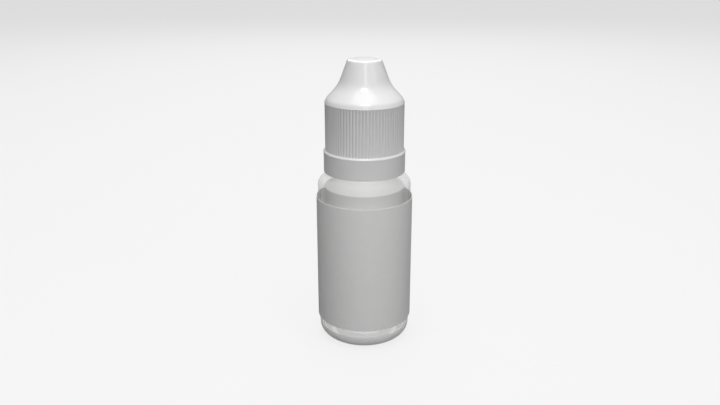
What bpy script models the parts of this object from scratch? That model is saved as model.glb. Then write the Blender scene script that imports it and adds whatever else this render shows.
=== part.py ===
"""Squeeze dropper bottle with a push-and-turn child-resistant screw closure and a tamper-evident band.

Metres, +Z up. The origin is the centre of the standing ring under the bottle, and every piece is turned
about the Z axis. Heights are built up from the standing ring, radii from the neck outwards.
"""

import math

import bmesh
import bpy
from mathutils import Matrix, Vector

MM = 0.001

# Clearances
SEAT_GAP = 0.3 * MM
SLIDING_GAP = 0.12 * MM
PRESS_TRAVEL = 1.2 * MM

# Bottle, blow-moulded
BODY_RADIUS = 10.8 * MM
BODY_WALL = 1.5 * MM
LEAST_INNER_ROUNDING = 0.2
BASE_THICKNESS = 1.6 * MM
HEEL_RADIUS = 2.9 * MM
PUSH_UP_DEPTH = 0.8 * MM
STANDING_RING = 1.1 * MM
SHOULDER_CORNER_HEIGHT = 39.1 * MM
SHOULDER_RADIUS = 2.5 * MM
SHOULDER_SLOPE = math.radians(36)
SHOULDER_LEDGE_RADIUS = 8.9 * MM
NECK_BASE_RADIUS = 6.85 * MM
SNAP_BEAD_PROUD = 0.9 * MM
SNAP_BEAD_LAND = 0.4 * MM
SNAP_BEAD_HEIGHT = 1.2 * MM
NECK_RADIUS = 5.6 * MM
NECK_BORE_RADIUS = 4.4 * MM
NECK_LENGTH_ABOVE_BEAD = 7.3 * MM
RIM_ROUNDING = 0.36 * MM

# Screw thread, one start, on the neck and in the inner cap
THREAD_PITCH = 2.5 * MM
THREAD_DEPTH = 0.55 * MM
THREAD_ROOT_WIDTH = 1.3 * MM
THREAD_CREST_WIDTH = 0.7 * MM
THREAD_SINK = 0.15 * MM
THREAD_ABOVE_BEAD = 1.5 * MM
NECK_THREAD_TURNS = 1.75
CAP_THREAD_TURNS = 1.5

# Label, wrapped round the body with a narrow gap behind
LABEL_BOTTOM = 5.1 * MM
LABEL_HEIGHT = 30.1 * MM
LABEL_THICKNESS = 0.12 * MM
LABEL_SEAM = 0.5 * MM

# Dropper plug, pushed into the neck
PLUG_LENGTH = 7.0 * MM
PLUG_WALL = 0.85 * MM
PLUG_BEAD_PROUD = 0.1 * MM
PLUG_FLANGE_THICKNESS = 1.0 * MM
NOZZLE_ROOT_RADIUS = 3.2 * MM
NOZZLE_TIP_RADIUS = 1.7 * MM
NOZZLE_HEIGHT = 9.4 * MM
NOZZLE_ROUNDING = 0.5 * MM
ORIFICE_RADIUS = 0.65 * MM
ORIFICE_LENGTH = 1.8 * MM
ORIFICE_STEP = 0.2 * MM

# Tamper band
BAND_SHOULDER_GAP = 0.65 * MM
BAND_HEIGHT = 5.2 * MM
BAND_HOOK_REACH = 0.55 * MM
BAND_HOOK_HEIGHT = 1.4 * MM
BAND_HOOK_LAND = 0.56 * MM
BAND_LIP_THICKNESS = 0.25 * MM
LIP_BEAD_PROUD = 0.07 * MM
LIP_BEAD_HEIGHT = 0.65 * MM
LIP_BEAD_ROUNDING = 0.28 * MM
BRIDGE_COUNT = 8
BRIDGE_WIDTH = 0.7 * MM
BRIDGE_THICKNESS = 0.5 * MM

# Inner cap
THREAD_ROOM = 0.8 * MM
INNER_CAP_WALL = 1.05 * MM
INNER_SHOULDER_THICKNESS = 1.2 * MM
INNER_CONE_WALL = 0.8 * MM
NOZZLE_ROOM = 0.45 * MM
SEAL_PIN_RADIUS = 0.45 * MM
SEAL_PIN_DEPTH = 1.0 * MM
SNAP_RING_PROUD = 0.25 * MM
SNAP_RING_HEIGHT = 0.8 * MM
SNAP_RING_ABOVE_BOTTOM = 4.0 * MM
TOOTH_COUNT = 8
TOOTH_HEIGHT = 1.0 * MM
TOOTH_WIDTH = 1.6 * MM
TOOTH_LENGTH = 2.2 * MM

# Outer cap
SKIRT_WALL = 1.18 * MM
RIB_COUNT = 78
RIB_DEPTH = 0.2 * MM
CAP_SHOULDER_RISE = 3.52 * MM
CAP_SHOULDER_SLOPE = math.radians(47)
CAP_SHOULDER_RADIUS = 3.0 * MM
CAP_RIM_SLOPE = math.radians(70)
CAP_RIM_DROP = 0.62 * MM
CAP_RIM_PROUD = 0.06 * MM
CAP_WAIST_RADIUS = 8.4 * MM
CAP_CONE_ANGLE = math.radians(20.5)
CAP_WALL = 1.1 * MM
CAP_ROOF_THICKNESS = 1.2 * MM
CAP_ROOF_ROOM = 0.95 * MM
CAP_TOP_RADIUS = 3.82 * MM
CAP_TOP_ROUNDING = 0.65 * MM
SNAP_CATCH_PROUD = 0.3 * MM
SNAP_CATCH_HEIGHT = 0.9 * MM

# Facets
BOTTLE_STEPS = 40
CAP_STEPS = 2 * RIB_COUNT
SMALL_STEPS = 28
THREAD_STEPS_PER_TURN = 20
ARC_STEP = math.radians(24)
SMOOTH_ANGLE = math.radians(40)
MERGE_DISTANCE = 0.01 * MM

# Radii, worked outwards from the neck
SNAP_BEAD_RADIUS = NECK_BASE_RADIUS + SNAP_BEAD_PROUD
INNER_CAP_BORE = NECK_RADIUS + THREAD_ROOM
INNER_CAP_RADIUS = INNER_CAP_BORE + INNER_CAP_WALL
SNAP_RING_RADIUS = INNER_CAP_RADIUS + SNAP_RING_PROUD
SKIRT_BORE = SNAP_RING_RADIUS + SLIDING_GAP
SKIRT_RADIUS = SKIRT_BORE + SKIRT_WALL
BAND_LIP_BORE = SKIRT_RADIUS + SLIDING_GAP
BAND_RADIUS = BAND_LIP_BORE + BAND_LIP_THICKNESS
BAND_BORE = SNAP_BEAD_RADIUS + SEAT_GAP
LABEL_BORE = BODY_RADIUS + SEAT_GAP
TOOTH_OUTER = INNER_CAP_RADIUS - INNER_CAP_WALL / 2
TOOTH_INNER = TOOTH_OUTER - TOOTH_LENGTH

# Heights, worked upwards from the standing ring
LEDGE_RISE = (BODY_RADIUS - SHOULDER_LEDGE_RADIUS) * math.tan(SHOULDER_SLOPE)
LEDGE_HEIGHT = SHOULDER_CORNER_HEIGHT + LEDGE_RISE
BAND_BOTTOM = LEDGE_HEIGHT + BAND_SHOULDER_GAP
BAND_TOP = BAND_BOTTOM + BAND_HEIGHT
HOOK_TOP = BAND_BOTTOM + BAND_HOOK_HEIGHT
SNAP_BEAD_BOTTOM = HOOK_TOP + SEAT_GAP
SNAP_BEAD_TOP = SNAP_BEAD_BOTTOM + SNAP_BEAD_HEIGHT
RIM_HEIGHT = SNAP_BEAD_TOP + NECK_LENGTH_ABOVE_BEAD
NECK_THREAD_START = SNAP_BEAD_TOP + THREAD_ABOVE_BEAD
CAP_THREAD_START = NECK_THREAD_START + THREAD_PITCH / 2
PLUG_SEAT = RIM_HEIGHT + SEAT_GAP
FLANGE_TOP = PLUG_SEAT + PLUG_FLANGE_THICKNESS
NOZZLE_TOP = FLANGE_TOP + NOZZLE_HEIGHT
INNER_CAP_BOTTOM = SNAP_BEAD_TOP + SEAT_GAP
BRIDGE_TOP = INNER_CAP_BOTTOM - SEAT_GAP
GROOVE_FLOOR = BRIDGE_TOP - BRIDGE_THICKNESS / 2
INNER_SEAT = FLANGE_TOP + SEAT_GAP
INNER_SHOULDER_TOP = INNER_SEAT + INNER_SHOULDER_THICKNESS
TOOTH_TOP = INNER_SHOULDER_TOP + TOOTH_HEIGHT
INNER_ROOF = NOZZLE_TOP + NOZZLE_ROOM
INNER_CAP_TOP = INNER_ROOF + INNER_CONE_WALL
SNAP_RING_BOTTOM = INNER_CAP_BOTTOM + SNAP_RING_ABOVE_BOTTOM
SKIRT_BOTTOM = BRIDGE_TOP + PRESS_TRAVEL + SEAT_GAP
LUG_BOTTOM = TOOTH_TOP + SEAT_GAP
CAP_CORNER_HEIGHT = INNER_SHOULDER_TOP + CAP_SHOULDER_RISE
CAP_RIM_HEIGHT = CAP_CORNER_HEIGHT - CAP_RIM_DROP
CAP_ROOF = INNER_CAP_TOP + PRESS_TRAVEL + CAP_ROOF_ROOM
CAP_TOP = CAP_ROOF + CAP_ROOF_THICKNESS


def corner_arc(before, corner, after, radius):
    """Points of the arc of this radius that rounds a corner of a profile."""
    corner = Vector(corner)
    back = (Vector(before) - corner).normalized()
    ahead = (Vector(after) - corner).normalized()
    half = back.angle(ahead) / 2
    centre = corner + (back + ahead).normalized() * radius / math.sin(half)
    start = corner + back * radius / math.tan(half) - centre
    turn = start.angle_signed(corner + ahead * radius / math.tan(half) - centre)
    count = max(2, math.ceil(abs(turn) / ARC_STEP))
    arc = []
    for i in range(count + 1):
        angle = -turn * i / count
        arc.append((
            centre.x + start.x * math.cos(angle) - start.y * math.sin(angle),
            centre.y + start.x * math.sin(angle) + start.y * math.cos(angle),
        ))
    return arc


def rounded(*points):
    """A profile of (radius, height) points, where a third number is the radius that rounds that corner."""
    profile = []
    for i, point in enumerate(points):
        if len(point) == 2:
            profile.append(point)
        else:
            following = points[(i + 1) % len(points)]
            profile += corner_arc(points[i - 1][:2], point[:2], following[:2], point[2])
    return profile


def meeting_point(radius_a, height_a, slope_a, radius_b, height_b, slope_b):
    """Where two straight profile lines cross, each given by a point and its fall per unit of radius."""
    radius = (height_a - height_b + slope_a * radius_a - slope_b * radius_b) / (slope_a - slope_b)
    return radius, height_a - slope_a * (radius - radius_a)


def new_object(name, mesh, collection):
    obj = bpy.data.objects.new(name, mesh)
    collection.objects.link(obj)
    return obj


def turned(name, profile, base, steps, closed, collection):
    """A profile turned about the Z axis. It runs down the outer side, and its object stands at the base."""
    mesh = bpy.data.meshes.new(name)
    points = [(radius, 0, height - base) for radius, height in profile]
    edges = [(i, i + 1) for i in range(len(points) - 1)]
    if closed:
        edges.append((len(points) - 1, 0))
    mesh.from_pydata(points, edges, [])
    obj = new_object(name, mesh, collection)
    obj.location.z = base
    screw = obj.modifiers.new("turn", "SCREW")
    screw.steps = screw.render_steps = steps
    screw.use_merge_vertices = True
    screw.merge_threshold = MERGE_DISTANCE
    screw.use_smooth_shade = True
    return obj


def applied(obj):
    """The object with its modifiers made into its mesh."""
    bpy.context.view_layer.update()
    graph = bpy.context.evaluated_depsgraph_get()
    mesh = bpy.data.meshes.new_from_object(obj.evaluated_get(graph))
    obj.modifiers.clear()
    obj.data = mesh
    return obj


def thread_ridge(name, root, crest, start, turns, base, collection):
    """A closed helical ridge of one start, sunk a little into the wall at its root."""
    sunk = root + math.copysign(THREAD_SINK, root - crest)
    half_root = THREAD_ROOT_WIDTH / 2
    half_crest = THREAD_CREST_WIDTH / 2
    section = [(sunk, -half_root), (crest, -half_crest), (crest, half_crest), (sunk, half_root)]
    mesh = bpy.data.meshes.new(name)
    points = [(radius, 0, start - base + height) for radius, height in section]
    mesh.from_pydata(points, [(0, 1), (1, 2), (2, 3), (3, 0)], [])
    obj = new_object(name, mesh, collection)
    obj.location.z = base
    screw = obj.modifiers.new("wind", "SCREW")
    screw.angle = turns * math.tau
    screw.screw_offset = turns * THREAD_PITCH
    screw.steps = screw.render_steps = round(turns * THREAD_STEPS_PER_TURN)
    applied(obj)
    shape = bmesh.new()
    shape.from_mesh(obj.data)
    bmesh.ops.holes_fill(shape, edges=shape.edges[:])
    bmesh.ops.recalc_face_normals(shape, faces=shape.faces)
    shape.to_mesh(obj.data)
    shape.free()
    return helper(obj)


def ring_of_blocks(name, count, inner, outer, width, bottom, top, phase, base, collection):
    """Upright blocks set round the axis, each running from the inner to the outer radius."""
    shape = bmesh.new()
    for i in range(count):
        block = bmesh.ops.create_cube(shape, size=1)["verts"]
        bmesh.ops.scale(shape, vec=(outer - inner, width, top - bottom), verts=block)
        middle = Vector(((inner + outer) / 2, 0, (bottom + top) / 2 - base))
        bmesh.ops.translate(shape, vec=middle, verts=block)
        turn = Matrix.Rotation(phase + math.tau * i / count, 3, "Z")
        bmesh.ops.rotate(shape, cent=(0, 0, 0), matrix=turn, verts=block)
    mesh = bpy.data.meshes.new(name)
    shape.to_mesh(mesh)
    shape.free()
    obj = new_object(name, mesh, collection)
    obj.location.z = base
    return helper(obj)


def helper(obj):
    """Marks a shape that only cuts or joins another one."""
    obj.hide_render = True
    obj.display_type = "WIRE"
    return obj


def boolean(obj, tool, operation):
    modifier = obj.modifiers.new(tool.name, "BOOLEAN")
    modifier.object = tool
    modifier.operation = operation
    modifier.solver = "EXACT"


def plastic(name, colour, roughness, transmission=0.0):
    material = bpy.data.materials.new(name)
    material.use_nodes = True
    shader = material.node_tree.nodes["Principled BSDF"]
    shader.inputs["Base Color"].default_value = (*colour, 1)
    shader.inputs["Roughness"].default_value = roughness
    shader.inputs["Metallic"].default_value = 0.0
    shader.inputs["Transmission Weight"].default_value = transmission
    return material


def finish(obj, material, parent=None):
    """Gives a piece its material, its smooth shading and the piece that carries it."""
    applied(obj)
    obj.data.materials.clear()
    obj.data.materials.append(material)
    obj.data.shade_smooth()
    obj.data.set_sharp_from_angle(angle=SMOOTH_ANGLE)
    if parent:
        obj.parent = parent
        obj.location.z -= parent.matrix_world.translation.z
    bpy.context.view_layer.update()
    return obj


def make_bottle(parts, cutters):
    """Body, shoulder and threaded neck in one wall, with a push-up base and the bead that holds the band."""
    inner_radius = BODY_RADIUS - BODY_WALL
    inner_heel = max(HEEL_RADIUS - BODY_WALL, LEAST_INNER_ROUNDING * HEEL_RADIUS)
    inner_shoulder = max(SHOULDER_RADIUS - BODY_WALL, LEAST_INNER_ROUNDING * SHOULDER_RADIUS)
    inner_corner_height = SHOULDER_CORNER_HEIGHT - BODY_WALL
    inner_rise = (inner_radius - NECK_BORE_RADIUS) * math.tan(SHOULDER_SLOPE)
    ring_outer = BODY_RADIUS - HEEL_RADIUS
    ring_inner = ring_outer - STANDING_RING
    profile = rounded(
        (0, PUSH_UP_DEPTH + BASE_THICKNESS),
        (ring_inner, BASE_THICKNESS, 2 * PUSH_UP_DEPTH),
        (inner_radius, BASE_THICKNESS, inner_heel),
        (inner_radius, inner_corner_height, inner_shoulder),
        (NECK_BORE_RADIUS, inner_corner_height + inner_rise, BODY_WALL),
        (NECK_BORE_RADIUS, RIM_HEIGHT),
        (NECK_RADIUS, RIM_HEIGHT, RIM_ROUNDING),
        (NECK_RADIUS, SNAP_BEAD_TOP),
        (SNAP_BEAD_RADIUS, SNAP_BEAD_BOTTOM + SNAP_BEAD_LAND),
        (SNAP_BEAD_RADIUS, SNAP_BEAD_BOTTOM),
        (NECK_BASE_RADIUS, SNAP_BEAD_BOTTOM),
        (NECK_BASE_RADIUS, LEDGE_HEIGHT),
        (SHOULDER_LEDGE_RADIUS, LEDGE_HEIGHT),
        (BODY_RADIUS, SHOULDER_CORNER_HEIGHT, SHOULDER_RADIUS),
        (BODY_RADIUS, 0, HEEL_RADIUS),
        (ring_inner, 0),
        (0, PUSH_UP_DEPTH),
    )
    bottle = turned("bottle", profile, 0, BOTTLE_STEPS, False, parts)
    thread = thread_ridge("neck_thread", NECK_RADIUS, NECK_RADIUS + THREAD_DEPTH, NECK_THREAD_START,
                          NECK_THREAD_TURNS, 0, cutters)
    boolean(bottle, thread, "UNION")
    return finish(bottle, plastic("natural polyethylene", (0.80, 0.81, 0.80), 0.32, 0.4))


def make_label(parts, cutters, bottle):
    """A wrapped film sleeve whose two ends almost meet behind the bottle."""
    outer = LABEL_BORE + LABEL_THICKNESS
    top = LABEL_BOTTOM + LABEL_HEIGHT
    profile = [(LABEL_BORE, top), (outer, top), (outer, LABEL_BOTTOM), (LABEL_BORE, LABEL_BOTTOM)]
    label = turned("label", profile, LABEL_BOTTOM, BOTTLE_STEPS, True, parts)
    seam = ring_of_blocks("label_seam", 1, LABEL_BORE / 2, outer + LABEL_SEAM, LABEL_SEAM,
                          LABEL_BOTTOM - LABEL_SEAM, top + LABEL_SEAM, math.pi / 2, LABEL_BOTTOM, cutters)
    boolean(label, seam, "DIFFERENCE")
    return finish(label, plastic("white label film", (0.72, 0.72, 0.72), 0.5), bottle)


def make_dropper_plug(parts, bottle):
    """The pushed-in plug: a thin barrel with sealing beads, a flange on the rim and a drilled nozzle."""
    barrel = NECK_BORE_RADIUS - SLIDING_GAP - PLUG_BEAD_PROUD
    bead = barrel + PLUG_BEAD_PROUD
    bore = barrel - PLUG_WALL
    bottom = PLUG_SEAT - PLUG_LENGTH
    bead_step = PLUG_LENGTH / 6
    upper_bead = bottom + 4 * bead_step
    lower_bead = bottom + 2 * bead_step
    nozzle_bore = NOZZLE_ROOT_RADIUS - PLUG_WALL
    tip_bore = max(NOZZLE_TIP_RADIUS - PLUG_WALL, ORIFICE_RADIUS + ORIFICE_STEP)
    orifice_bottom = NOZZLE_TOP - ORIFICE_LENGTH
    profile = rounded(
        (ORIFICE_RADIUS, NOZZLE_TOP),
        (NOZZLE_TIP_RADIUS, NOZZLE_TOP, NOZZLE_ROUNDING),
        (NOZZLE_ROOT_RADIUS, FLANGE_TOP),
        (NECK_RADIUS, FLANGE_TOP),
        (NECK_RADIUS, PLUG_SEAT),
        (barrel, PLUG_SEAT),
        (barrel, upper_bead + bead_step / 2),
        (bead, upper_bead),
        (barrel, upper_bead - bead_step / 2),
        (barrel, lower_bead + bead_step / 2),
        (bead, lower_bead),
        (barrel, lower_bead - bead_step / 2),
        (barrel - PLUG_WALL / 2, bottom),
        (bore, bottom),
        (bore, PLUG_SEAT - PLUG_WALL),
        (nozzle_bore, FLANGE_TOP),
        (tip_bore, orifice_bottom),
        (ORIFICE_RADIUS, orifice_bottom + ORIFICE_STEP),
    )
    plug = turned("dropper_plug", profile, PLUG_SEAT, SMALL_STEPS, True, parts)
    return finish(plug, plastic("soft polyethylene", (0.86, 0.86, 0.85), 0.35), bottle)


def make_tamper_band(parts, cutters, bottle):
    """The ring left on the neck: a hook under the bead, a beaded lip round the skirt and snapped bridges."""
    hook = SNAP_BEAD_RADIUS - BAND_HOOK_REACH
    lip_bead = BAND_RADIUS + LIP_BEAD_PROUD
    lip_bottom = BAND_TOP - LIP_BEAD_HEIGHT
    profile = rounded(
        (BAND_LIP_BORE, BAND_TOP),
        (lip_bead, BAND_TOP, LIP_BEAD_ROUNDING),
        (lip_bead, lip_bottom),
        (BAND_RADIUS, lip_bottom - LIP_BEAD_PROUD),
        (BAND_RADIUS, BAND_BOTTOM),
        (BAND_BORE, BAND_BOTTOM),
        (hook, HOOK_TOP - BAND_HOOK_LAND),
        (hook, HOOK_TOP),
        (BAND_BORE, HOOK_TOP),
        (BAND_BORE, GROOVE_FLOOR),
        (BAND_LIP_BORE, GROOVE_FLOOR),
    )
    band = turned("tamper_band", profile, BAND_BOTTOM, BOTTLE_STEPS, True, parts)
    bridges = ring_of_blocks("bridge_stubs", BRIDGE_COUNT, INNER_CAP_RADIUS, BAND_BORE + BRIDGE_WIDTH / 2,
                             BRIDGE_WIDTH, BRIDGE_TOP - BRIDGE_THICKNESS, BRIDGE_TOP, 0, BAND_BOTTOM, cutters)
    boolean(band, bridges, "UNION")
    return finish(band, plastic("white polypropylene band", (0.80, 0.80, 0.80), 0.3), bottle)


def make_inner_cap(parts, cutters, band):
    """The screw cap proper: a threaded skirt, a hollow cone over the nozzle with its pin, and drive teeth."""
    cone_base = NOZZLE_ROOT_RADIUS + NOZZLE_ROOM
    cone_tip = NOZZLE_TIP_RADIUS + NOZZLE_ROOM
    pin_bottom = NOZZLE_TOP - SEAL_PIN_DEPTH
    ring_top = SNAP_RING_BOTTOM + SNAP_RING_HEIGHT
    outer_tip = cone_tip + INNER_CONE_WALL
    outer_base = cone_base + INNER_CONE_WALL
    profile = rounded(
        (0, INNER_CAP_TOP),
        (outer_tip, INNER_CAP_TOP, INNER_CONE_WALL),
        (outer_base, INNER_SHOULDER_TOP),
        (INNER_CAP_RADIUS, INNER_SHOULDER_TOP, INNER_CAP_WALL / 2),
        (INNER_CAP_RADIUS, ring_top + SNAP_RING_PROUD),
        (SNAP_RING_RADIUS, ring_top),
        (SNAP_RING_RADIUS, SNAP_RING_BOTTOM),
        (INNER_CAP_RADIUS, SNAP_RING_BOTTOM),
        (INNER_CAP_RADIUS, INNER_CAP_BOTTOM),
        (INNER_CAP_BORE, INNER_CAP_BOTTOM),
        (INNER_CAP_BORE, INNER_SEAT),
        (cone_base, INNER_SEAT),
        (cone_tip, INNER_ROOF),
        (SEAL_PIN_RADIUS, INNER_ROOF),
        (SEAL_PIN_RADIUS, pin_bottom + SEAL_PIN_RADIUS / 2),
        (SEAL_PIN_RADIUS / 2, pin_bottom),
        (0, pin_bottom),
    )
    cap = turned("inner_cap", profile, INNER_CAP_BOTTOM, SMALL_STEPS, False, parts)
    teeth = ring_of_blocks("drive_teeth", TOOTH_COUNT, TOOTH_INNER, TOOTH_OUTER, TOOTH_WIDTH,
                           INNER_SHOULDER_TOP - INNER_SHOULDER_THICKNESS / 2, TOOTH_TOP, 0,
                           INNER_CAP_BOTTOM, cutters)
    boolean(cap, teeth, "UNION")
    thread = thread_ridge("cap_thread", INNER_CAP_BORE, INNER_CAP_BORE - THREAD_DEPTH, CAP_THREAD_START,
                          CAP_THREAD_TURNS, INNER_CAP_BOTTOM, cutters)
    boolean(cap, thread, "UNION")
    return finish(cap, plastic("white polypropylene inner cap", (0.80, 0.80, 0.80), 0.35), band)


def rib_skirt(cap, low, high):
    """Sets every second upright edge of the skirt back, which leaves one rib for each pair of steps."""
    for vertex in cap.data.vertices:
        height = vertex.co.z + cap.location.z
        radius = math.hypot(vertex.co.x, vertex.co.y)
        step = round(math.atan2(vertex.co.y, vertex.co.x) / math.tau * CAP_STEPS)
        on_skirt = low - MERGE_DISTANCE < height < high + MERGE_DISTANCE
        if step % 2 and on_skirt and radius > SKIRT_RADIUS - MERGE_DISTANCE:
            share = (radius - RIB_DEPTH) / radius
            vertex.co.x *= share
            vertex.co.y *= share


def make_outer_cap(parts, cutters, inner_cap):
    """The pressed shell: a ribbed skirt, a flared shoulder, a tapered nose, drive lugs and a catch inside."""
    cone_fall = 1 / math.tan(CAP_CONE_ANGLE)
    shoulder_fall = math.tan(CAP_SHOULDER_SLOPE)
    rim_fall = math.tan(CAP_RIM_SLOPE)
    rim = SKIRT_RADIUS + CAP_RIM_PROUD
    waist = meeting_point(CAP_TOP_RADIUS, CAP_TOP, cone_fall, SKIRT_RADIUS, CAP_CORNER_HEIGHT, shoulder_fall)
    corner = meeting_point(SKIRT_RADIUS, CAP_CORNER_HEIGHT, shoulder_fall, rim, CAP_RIM_HEIGHT, rim_fall)
    rib_top = CAP_RIM_HEIGHT - RIB_DEPTH
    inner_top = CAP_TOP_RADIUS - CAP_WALL / math.cos(CAP_CONE_ANGLE)
    inner_corner = CAP_CORNER_HEIGHT + (SKIRT_RADIUS - SKIRT_BORE) * shoulder_fall
    inner_corner -= CAP_WALL / math.cos(CAP_SHOULDER_SLOPE)
    inner_waist = meeting_point(inner_top, CAP_TOP, cone_fall, SKIRT_BORE, inner_corner, shoulder_fall)
    roof_edge = inner_top + (CAP_TOP - CAP_ROOF) * math.tan(CAP_CONE_ANGLE)
    catch_top = SNAP_RING_BOTTOM - SEAT_GAP
    catch = SKIRT_BORE - SNAP_CATCH_PROUD
    profile = rounded(
        (0, CAP_TOP),
        (CAP_TOP_RADIUS, CAP_TOP, CAP_TOP_ROUNDING),
        (*waist, CAP_WAIST_RADIUS),
        (*corner, CAP_SHOULDER_RADIUS),
        (rim, CAP_RIM_HEIGHT),
        (SKIRT_RADIUS, rib_top),
        (SKIRT_RADIUS, SKIRT_BOTTOM),
        (SKIRT_BORE, SKIRT_BOTTOM),
        (SKIRT_BORE, catch_top - SNAP_CATCH_HEIGHT),
        (catch, catch_top),
        (SKIRT_BORE, catch_top),
        (SKIRT_BORE, inner_corner),
        inner_waist,
        (roof_edge, CAP_ROOF),
        (0, CAP_ROOF),
    )
    cap = turned("outer_cap", profile, SKIRT_BOTTOM, CAP_STEPS, False, parts)
    applied(cap)
    rib_skirt(cap, SKIRT_BOTTOM, rib_top)
    lug_outer = SKIRT_BORE + SKIRT_WALL / 3
    lugs = ring_of_blocks("drive_lugs", TOOTH_COUNT, TOOTH_INNER, lug_outer, TOOTH_WIDTH,
                          LUG_BOTTOM, inner_corner, math.pi / TOOTH_COUNT, SKIRT_BOTTOM, cutters)
    boolean(cap, lugs, "UNION")
    return finish(cap, plastic("white polypropylene shell", (0.80, 0.80, 0.80), 0.28), inner_cap)


def main():
    for obj in list(bpy.data.objects):
        bpy.data.objects.remove(obj)
    parts = bpy.data.collections.new("dropper_bottle")
    cutters = bpy.data.collections.new("cutters")
    bpy.context.scene.collection.children.link(parts)
    bpy.context.scene.collection.children.link(cutters)
    bottle = make_bottle(parts, cutters)
    make_label(parts, cutters, bottle)
    make_dropper_plug(parts, bottle)
    band = make_tamper_band(parts, cutters, bottle)
    inner_cap = make_inner_cap(parts, cutters, band)
    make_outer_cap(parts, cutters, inner_cap)


main()
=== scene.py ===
import math

import bmesh
import bpy
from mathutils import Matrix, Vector


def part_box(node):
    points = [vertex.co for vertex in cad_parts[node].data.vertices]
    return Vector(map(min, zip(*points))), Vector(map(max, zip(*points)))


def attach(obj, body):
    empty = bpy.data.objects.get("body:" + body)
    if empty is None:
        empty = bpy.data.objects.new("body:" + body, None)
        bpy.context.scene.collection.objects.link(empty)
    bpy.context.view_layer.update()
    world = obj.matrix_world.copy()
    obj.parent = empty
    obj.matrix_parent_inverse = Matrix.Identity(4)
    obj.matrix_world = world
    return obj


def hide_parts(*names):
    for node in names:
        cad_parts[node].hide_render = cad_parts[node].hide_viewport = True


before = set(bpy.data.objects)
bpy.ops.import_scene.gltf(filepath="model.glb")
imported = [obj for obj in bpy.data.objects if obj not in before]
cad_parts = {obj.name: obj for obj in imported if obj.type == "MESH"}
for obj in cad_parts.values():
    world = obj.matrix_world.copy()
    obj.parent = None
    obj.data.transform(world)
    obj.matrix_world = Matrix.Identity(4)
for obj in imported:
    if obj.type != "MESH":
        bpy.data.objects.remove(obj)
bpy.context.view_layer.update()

# Bottle
# A squeeze bottle of natural low-density polyethylene, blow-moulded in one wall from heel to neck.
# The two mould halves leave a fine line up each side and a pinched scar under the base.

MM = 0.001
BODY_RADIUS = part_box("bottle")[1].x
RIM_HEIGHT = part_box("bottle")[1].z
BODY_WALL = 1.5 * MM
BASE_THICKNESS = 2.2 * MM
INNER_ROUNDING = 0.4 * MM
HEEL_RADIUS = 2.9 * MM
PUSH_UP_DEPTH = 0.8 * MM
PUSH_UP_ROUNDING = 3.2 * MM
STANDING_RING = 1.1 * MM
RING_ROUNDING = 0.3 * MM
SHOULDER_CORNER = 39.1 * MM
SHOULDER_RADIUS = 2.5 * MM
SHOULDER_SLOPE = math.radians(36)
LEDGE_RADIUS = 8.5 * MM
LEDGE_ROUNDING = 0.5 * MM
LEDGE_HEIGHT = SHOULDER_CORNER + (BODY_RADIUS - LEDGE_RADIUS) * math.tan(SHOULDER_SLOPE)
NECK_BASE_RADIUS = 6.85 * MM
NECK_RADIUS = 5.6 * MM
NECK_BORE = 4.4 * MM
RIM_INNER_ROUNDING = 0.2 * MM
RIM_OUTER_ROUNDING = 0.35 * MM
NECK_ABOVE_BEAD = 7.3 * MM
BEAD_RADIUS = 7.75 * MM
BEAD_LAND = 0.4 * MM
BEAD_HEIGHT = 1.2 * MM
BEAD_ROUNDING = 0.12 * MM
BEAD_FILLET = 0.4 * MM
BEAD_TOP = RIM_HEIGHT - NECK_ABOVE_BEAD
BEAD_BOTTOM = BEAD_TOP - BEAD_HEIGHT
PARTING_RIDGE = 0.035 * MM
BODY_SKIN_RADIUS = BODY_RADIUS - 0.9 * BODY_WALL
NECK_SKIN_RADIUS = NECK_BORE + BODY_WALL / 3
TURN_STEPS = 240
ARC_STEP = math.radians(5)
LEAST_ARC_STEPS = 3
SHARP_EDGE = math.radians(35)
ON_AXIS = 0.001 * MM


def corner_arc(before, corner, after, radius):
    """Points of the arc of this radius that rounds a corner of an outline."""
    corner = Vector(corner)
    back = (Vector(before) - corner).normalized()
    ahead = (Vector(after) - corner).normalized()
    half = back.angle(ahead) / 2
    centre = corner + (back + ahead).normalized() * radius / math.sin(half)
    start = corner + back * radius / math.tan(half) - centre
    end = corner + ahead * radius / math.tan(half) - centre
    turn = -start.angle_signed(end)
    count = max(LEAST_ARC_STEPS, math.ceil(abs(turn) / ARC_STEP))
    arc = []
    for i in range(count + 1):
        angle = turn * i / count
        arc.append((
            centre.x + start.x * math.cos(angle) - start.y * math.sin(angle),
            centre.y + start.x * math.sin(angle) + start.y * math.cos(angle),
        ))
    return arc


def rounded_outline(*points):
    """An outline of (radius, height) points, where a third number rounds that corner."""
    outline = []
    for i, point in enumerate(points):
        if len(point) == 2:
            outline.append(point)
        else:
            following = points[(i + 1) % len(points)]
            outline += corner_arc(points[i - 1][:2], point[:2], following[:2], point[2])
    return outline


def turned_point(radius, height, angle):
    """The point at this radius and height, turned by this angle about the Z axis."""
    return radius * math.cos(angle), radius * math.sin(angle), height


def turned_piece(name, outline, closed=False, steps=TURN_STEPS, form=None):
    """An outline turned about the Z axis, running down its outer side.

    form(radius, height, angle) can reshape it round the turn.
    """
    vertices = []
    rows = []
    for radius, height in outline:
        if radius < ON_AXIS:
            rows.append([len(vertices)] * steps)
            vertices.append((0, 0, height))
            continue
        row = []
        for step in range(steps):
            angle = math.tau * step / steps
            r, z = form(radius, height, angle) if form else (radius, height)
            row.append(len(vertices))
            vertices.append(turned_point(r, z, angle))
        rows.append(row)
    faces = []
    for upper, lower in zip(rows, rows[1:] + rows[:1] * closed):
        for step in range(steps):
            ahead = (step + 1) % steps
            corners = [upper[step], lower[step], lower[ahead], upper[ahead]]
            face = list(dict.fromkeys(corners))
            if len(face) > 2:
                faces.append(face)
    mesh = bpy.data.meshes.new(name)
    mesh.from_pydata(vertices, [], faces)
    return finished_piece(name, mesh)


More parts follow.
